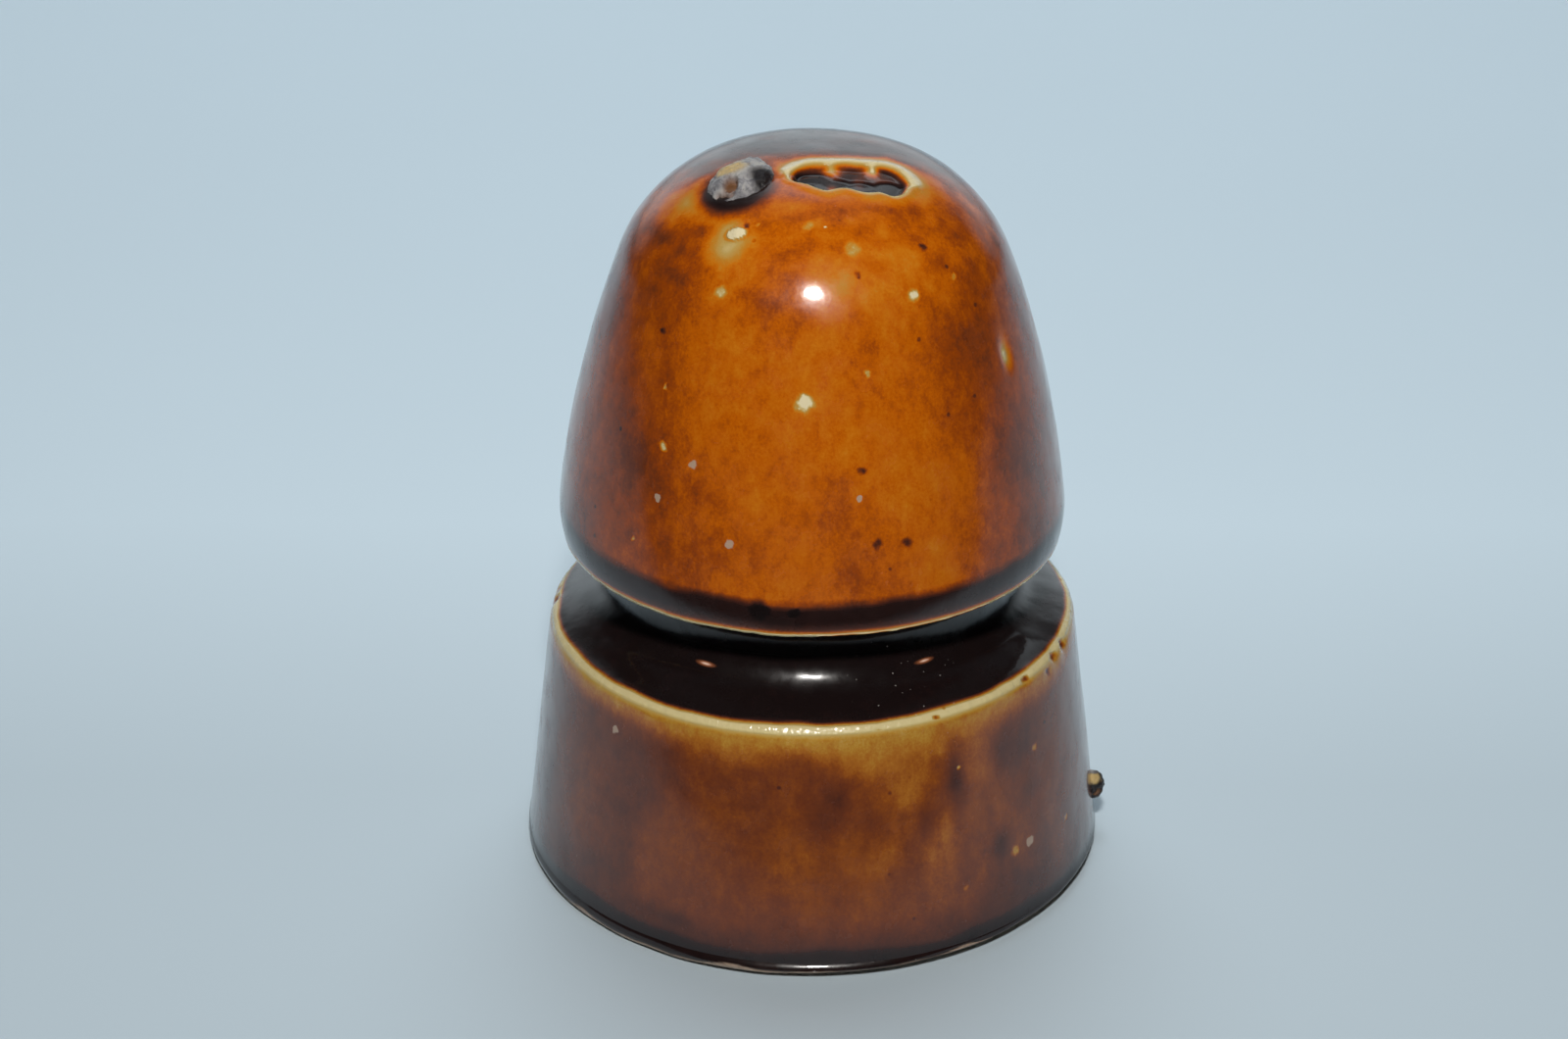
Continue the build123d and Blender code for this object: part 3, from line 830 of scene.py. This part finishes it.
# -------------------- lumps of kiln grit
def grit_lump(name, centre, outwards, sizes, tilt, marks, seed, detail, lumpy, marks_from):
    """A rough lump half sunk in the glaze: sizes are its half-length, half-width and height.

    tilt turns its length from its own right towards its back; marks are its cream, pit and dark places
    as right, back and reach, in shares of its size; they start at the height marks_from, where 1 is its
    top and -1 its underside. detail is its number of rings, and lumpy how uneven its shape is."""
    right = np.array([1.0, 0.0, 0.0]) if abs(outwards[0]) < 0.8 else np.array([0.0, 1.0, 0.0])
    right = right - outwards * (right @ outwards)
    right /= np.linalg.norm(right)
    back = np.cross(outwards, right)
    turn = math.radians(tilt)
    length_axis = right * math.cos(turn) + back * math.sin(turn)
    width_axis = back * math.cos(turn) - right * math.sin(turn)
    rows, around = detail, detail * 2
    polar = np.repeat(math.pi * np.arange(1, rows) / rows, around)
    turns = np.tile(np.arange(around) * 2 * math.pi / around, rows - 1)
    unit = np.column_stack([np.sin(polar) * np.cos(turns), np.sin(polar) * np.sin(turns), np.cos(polar)])
    unit = np.vstack([unit, [[0, 0, 1]], [[0, 0, -1]]])
    swell = 1 + lumpy * (0.09 * wave_noise(unit, 0.8, seed) + 0.05 * wave_noise(unit, 0.3, seed + 1))
    swell += 0.026 * wave_noise(unit, 0.13, seed + 2) + 0.014 * wave_noise(unit, 0.07, seed + 3)
    flat = np.sign(unit[:, 2]) * np.abs(unit[:, 2]) ** 0.8
    local = np.column_stack([unit[:, 0], unit[:, 1], flat]) * swell[:, None]
    on_top = smooth_step(unit[:, 2], marks_from, marks_from + 0.4)
    wobble = 0.12 * wave_noise(unit, 0.35, seed + 4)

    def mark(right_share, back_share, reach):
        away = np.hypot(local[:, 0] - right_share, local[:, 1] - back_share)
        return on_top * (1 - smooth_step(away + wobble, reach * 0.65, reach * 1.25))

    cream, pit, dark = (mark(*place) for place in marks)
    local[:, 2] -= 0.35 * pit
    points = centre + local @ np.array([length_axis * sizes[0], width_axis * sizes[1], outwards * sizes[2]])
    north = (rows - 1) * around
    faces = ring_faces(0, rows - 1, around) + top_fan(north, around)
    faces += end_fan(north + 1, (rows - 2) * around, around)
    thing = new_object(name, points, faces)
    add_attribute(thing.data, "cream", cream * (1 - pit))
    add_attribute(thing.data, "pit", pit)
    add_attribute(thing.data, "dark", dark)
    thing.data.materials.append(grit_finish)
    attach(thing, "insulator")
    return thing


def direction(turn, rise):
    """A direction by its turn from the front towards the right and its rise from level, in degrees."""
    turn, rise = math.radians(turn), math.radians(rise)
    return np.array([math.sin(turn) * math.cos(rise), -math.cos(turn) * math.cos(rise), math.sin(rise)])


grit_finish = grit_material()
dome_marks = [(0.10, 0.35, 0.48), (-0.38, -0.30, 0.30), (0.62, -0.70, 0.50)]
dome_grit = grit_lump("dome_grit_lump", np.array([-7.0, -5.1, 73.85]), direction(-55, 68),
                      (3.35, 3.05, 2.0), 30, dome_marks, seed=41, detail=64, lumpy=0.45, marks_from=-0.1)
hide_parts("dome_kiln_grit")
skirt_marks = [(-0.5, 0.75, 0.40), (-0.7, -0.3, 0.25), (-0.3, -0.2, 1.3)]
skirt_grit = grit_lump("skirt_grit_lump", np.array([29.25, -1.0, 5.2]), direction(88, 8),
                       (1.2, 1.5, 1.5), 0, skirt_marks, seed=51, detail=32, lumpy=1.0, marks_from=-1.3)
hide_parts("skirt_kiln_grit")


# -------------------- hidden pieces
def repaint(node, finish):
    """Gives a piece that shows the CAD's own shape this material."""
    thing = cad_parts[node]
    thing.data.materials.clear()
    thing.data.materials.append(finish)


def peg_mesh():
    """The turned peg with its ridge, bored through and with a pocket for the bolt's head."""
    points = [(PEG_BORE_RADIUS, 0.0), (FLANGE_RADIUS - 0.8, 0.0)]
    points += curve_run(points[-1], (FLANGE_RADIUS, 0.0), (FLANGE_RADIUS, 0.8), 5)
    points += straight_run(points[-1], (FLANGE_RADIUS, FLANGE_HEIGHT - 0.6), 1.5)
    taper_start = (FLANGE_RADIUS - 0.35, FLANGE_HEIGHT + 0.55)
    points += curve_run(points[-1], (FLANGE_RADIUS, FLANGE_HEIGHT), taper_start, 5)
    points += straight_run(points[-1], (PEG_RADIUS + 0.35, FLANGE_TAPER_Z - 0.55), 1.5)
    points += curve_run(points[-1], (PEG_RADIUS, FLANGE_TAPER_Z), (PEG_RADIUS, FLANGE_TAPER_Z + 0.6), 5)
    points += straight_run(points[-1], (PEG_RADIUS, PEG_TOP_Z - 0.8), 0.5)
    points += curve_run(points[-1], (PEG_RADIUS, PEG_TOP_Z), (PEG_RADIUS - 0.8, PEG_TOP_Z), 5)
    # rings close to each corner of the pocket and the bore keep those edges crisp
    points += [(POCKET_RADIUS, z) for z in (PEG_TOP_Z, PEG_TOP_Z - 0.2, POCKET_FLOOR_Z + 0.2, POCKET_FLOOR_Z)]
    points += [(PEG_BORE_RADIUS, POCKET_FLOOR_Z), (PEG_BORE_RADIUS, 0.2)]
    rows, around = len(points), 180
    r, z, angle = rings(points, around)
    outside = r > PEG_RADIUS - 0.01
    turn = (z - THREAD_START_Z) / PITCH - angle / (2 * math.pi)
    away = np.abs(turn - np.round(turn)) * PITCH
    ridge = THREAD_DEPTH * (1 - smooth_step(away, 0.6, 1.75))
    ridge *= smooth_step(z, *RIDGE_STARTS) * (1 - smooth_step(z, *RIDGE_ENDS))
    shape = np.column_stack([r * np.cos(angle), r * np.sin(angle), z])
    worn = 0.10 * wave_noise(shape, 7.0, 71) + 0.03 * wave_noise(shape * np.array([1, 1, 0.1]), 1.2, 72)
    r = r + outside * (ridge - np.abs(worn))
    shape = np.column_stack([r * np.cos(angle), r * np.sin(angle), z])
    faces = []
    for row in range(rows):
        a, b = row * around, (row + 1) % rows * around
        faces += [(a + k, a + (k + 1) % around, b + (k + 1) % around, b + k) for k in range(around)]
    return new_object("turned_peg", shape, faces)


peg = peg_mesh()
peg.data.materials.append(wood_material())
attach(peg, "post_peg")
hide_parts("thread_peg")
steel = steel_material()
repaint("bore_sleeve", steel)
repaint("head_washer", steel)


def felt_mesh():
    """The felt disc with soft, slightly uneven faces and a rounded edge."""
    low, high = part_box("felt_disc")
    radius = high.x / MM
    bottom, top = low.z / MM, high.z / MM
    middle, half = (bottom + top) / 2, (top - bottom) / 2
    around = 96
    edge = 0.8
    outline = [(radius * part, half) for part in (0.25, 0.5, 0.75, 0.88)]
    for angle in np.radians(np.arange(0, 181, 20)):
        outline.append((radius - edge + edge * math.sin(angle), half * math.cos(angle)))
    outline += [(radius * part, -half) for part in (0.88, 0.75, 0.5, 0.25)]
    rows = len(outline)
    r, z, turn = rings(outline, around)
    points = np.column_stack([r * np.cos(turn), r * np.sin(turn), z])
    shrink = np.minimum(0.97 - 0.03 * wave_noise(points, 2.0, 61), 1)
    points = points * shrink[:, None]
    points[:, 2] += middle
    points = np.vstack([points, [[0, 0, middle + half * 0.96]], [[0, 0, middle - half * 0.96]]])
    top_point = rows * around
    faces = ring_faces(0, rows, around) + top_fan(top_point, around)
    faces += end_fan(top_point + 1, (rows - 1) * around, around)
    return new_object("felt_pad", points, faces)


felt = felt_mesh()
felt.data.materials.append(felt_material())
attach(felt, "felt")
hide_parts("felt_disc")


# -------------------- floor, lights and camera
def put(thing, place_mm, aim_mm=None, axis="-Z"):
    """Adds a thing at its place, with this axis of it pointing at the aim."""
    thing.location = Vector(place_mm) * MM
    if aim_mm:
        thing.rotation_euler = (Vector(aim_mm) - Vector(place_mm)).to_track_quat(axis, "Y").to_euler()
    bpy.context.scene.collection.objects.link(thing)


def hide_from(thing, *rays):
    """Leaves a thing out of what these kinds of ray see."""
    for kind in rays:
        setattr(thing, "visible_" + kind, False)


def stage_plane(name, place_mm, width_mm, depth_mm, material, aim_mm=None):
    """A flat staged card that lies level, or whose face looks from its place towards the aim."""
    half_x, half_y = width_mm * MM / 2, depth_mm * MM / 2
    mesh = bpy.data.meshes.new(name)
    corners = [(-half_x, -half_y, 0), (half_x, -half_y, 0), (half_x, half_y, 0), (-half_x, half_y, 0)]
    mesh.from_pydata(corners, [], [(0, 1, 2, 3)])
    mesh.materials.append(material)
    card = bpy.data.objects.new(name, mesh)
    put(card, place_mm, aim_mm, "Z")
    return card


def floor_material():
    """Pale blue-white card, with painted shade that makes it a little darker towards the front."""
    m = Nodes("pale_table")
    depth = m.add("ShaderNodeMapRange", {}, {"Value": m.coordinate("Y"), "From Min": -0.06, "From Max": 0.28})
    # painted shade: the floor's colour is darkened towards the front and brightened towards the back
    painted_shade_stops = [(0.0, 0.79), (0.06, 0.79), (0.2, 0.86), (0.38, 1.11), (0.7, 1.14), (1.0, 1.18)]
    painted_shade = m.ramp(depth, [(at, (0.62 * k, 0.735 * k, 0.815 * k, 1)) for at, k in painted_shade_stops])
    fleck = m.noise(160.0, 3.0)
    colour = m.blend(m.between(fleck, 0.35, 0.7, 0.0, 0.05), painted_shade, (0.5, 0.58, 0.64, 1.0))
    m.set(Base_Color=colour, Roughness=0.5, IOR=1.3)
    return m.material


def card_material(name, colour, strength):
    """Light that fades out softly towards the card's edge."""
    m = Nodes(name)
    m.tree.nodes.remove(m.shader)
    place = m.tree.nodes["Texture Coordinate"].outputs["Generated"]
    inputs = {"Vector": place, "Location": (-1.0, -1.0, 0.0), "Scale": (2.0, 2.0, 0.0)}
    spread = m.add("ShaderNodeMapping", {}, inputs)
    from_middle = m.add("ShaderNodeTexGradient", {"gradient_type": "SPHERICAL"}, {"Vector": spread}, "Fac")
    fade = m.between(from_middle, 0.0, 0.8)
    glow = m.add("ShaderNodeEmission", {}, {"Color": colour, "Strength": m.times(fade, strength)})
    m.fill(m.output.inputs["Surface"], glow)
    return m.material


def dark_card_material():
    """Black that fades to clear towards the object."""
    m = Nodes("dark_room")
    m.set(Base_Color=(0.0, 0.0, 0.0, 1.0), Roughness=1.0, Specular_IOR_Level=0.0)
    clear = m.between(m.coordinate("Y"), 0.465, 0.50)
    through = m.add("ShaderNodeBsdfTransparent", {}, {})
    mixed = m.add("ShaderNodeMixShader", {}, {0: clear, 1: m.shader.outputs[0], 2: through})
    m.fill(m.output.inputs["Surface"], mixed)
    return m.material


def haze_material():
    """Clear around the object, turning to the backdrop's colour further away."""
    m = Nodes("haze")
    m.tree.nodes.remove(m.shader)
    away = m.length(m.vectors("SUBTRACT", m.place, HAZE_CENTRE))
    glow = m.add("ShaderNodeEmission", {}, {"Color": BACKDROP, "Strength": 1.0})
    clear = m.add("ShaderNodeBsdfTransparent", {}, {})
    mixed = m.add("ShaderNodeMixShader", {}, {0: m.between(away, 0.22, 0.58), 1: clear, 2: glow})
    m.fill(m.output.inputs["Surface"], mixed)
    return m.material


def lamp(name, place_mm, aim_mm, energy, width_mm, height_mm, colour):
    """An oval area light that looks from its place towards the aim."""
    light = bpy.data.lights.new(name, "AREA")
    light.energy = energy
    light.color = colour
    light.shape = "ELLIPSE"
    light.size = width_mm * MM
    light.size_y = height_mm * MM
    thing = bpy.data.objects.new(name, light)
    put(thing, place_mm, aim_mm)
    return thing


MIDDLE = (0, 0, 37)
PALE_BLUE = (0.84, 0.94, 1.0, 1.0)
BACKDROP = (0.53, 0.65, 0.72, 1)
HAZE_CENTRE = (0.0, 0.12, 0.0)  # in metres, as the shader counts
stage_plane("floor", (0, 0, -0.05), 6000, 6000, floor_material())
lamp("flash", (4, -308, 343), MIDDLE, 1.43, 43, 35, (1.0, 0.97, 0.93))
table_lamp = lamp("table_lamp", (0, 330, 800), (0, 240, 0), 1.15, 600, 400, (0.88, 0.96, 1.0))
table_lamp.data.spread = math.radians(110)
hide_from(table_lamp, "glossy")
for name, place, width, depth, strength in [
        ("tent_top", (0, 850, 820), 1500, 900, 1.1),
        ("tent_back", (0, 1000, 260), 3000, 900, 0.95)]:
    card = stage_plane(name, place, width, depth, card_material(name, PALE_BLUE, strength), MIDDLE)
    hide_from(card, "camera")
# the room in front is dark, so the glaze facing forwards mirrors nothing bright
front = stage_plane("dark_room", (0, -534, 1.0), 3000, 1000, dark_card_material())
hide_from(front, "camera", "diffuse", "shadow")
# far from the object the floor melts into the backdrop
haze = stage_plane("haze", (0, 0, -0.02), 6000, 6000, haze_material())
hide_from(haze, "diffuse", "glossy", "shadow")

world = bpy.data.worlds.new("tent")
world.use_nodes = True
backdrop = world.node_tree.nodes["Background"]
backdrop.inputs["Color"].default_value = BACKDROP
backdrop.inputs["Strength"].default_value = 1.0
world.cycles_visibility.diffuse = False
world.cycles_visibility.glossy = False
bpy.context.scene.world = world

CAMERA_PLACE = (0, -331.5, 204.5)
CAMERA_AIM = (-2.9, 0, 35.74)
CAMERA_LENS = 84.2
camera_data = bpy.data.cameras.new("camera")
camera_data.lens = CAMERA_LENS
camera_data.sensor_width = 36
camera_data.clip_start = 0.01
camera = bpy.data.objects.new("camera", camera_data)
put(camera, CAMERA_PLACE, CAMERA_AIM)
bpy.context.scene.camera = camera
bpy.context.scene.view_settings.view_transform = "Standard"
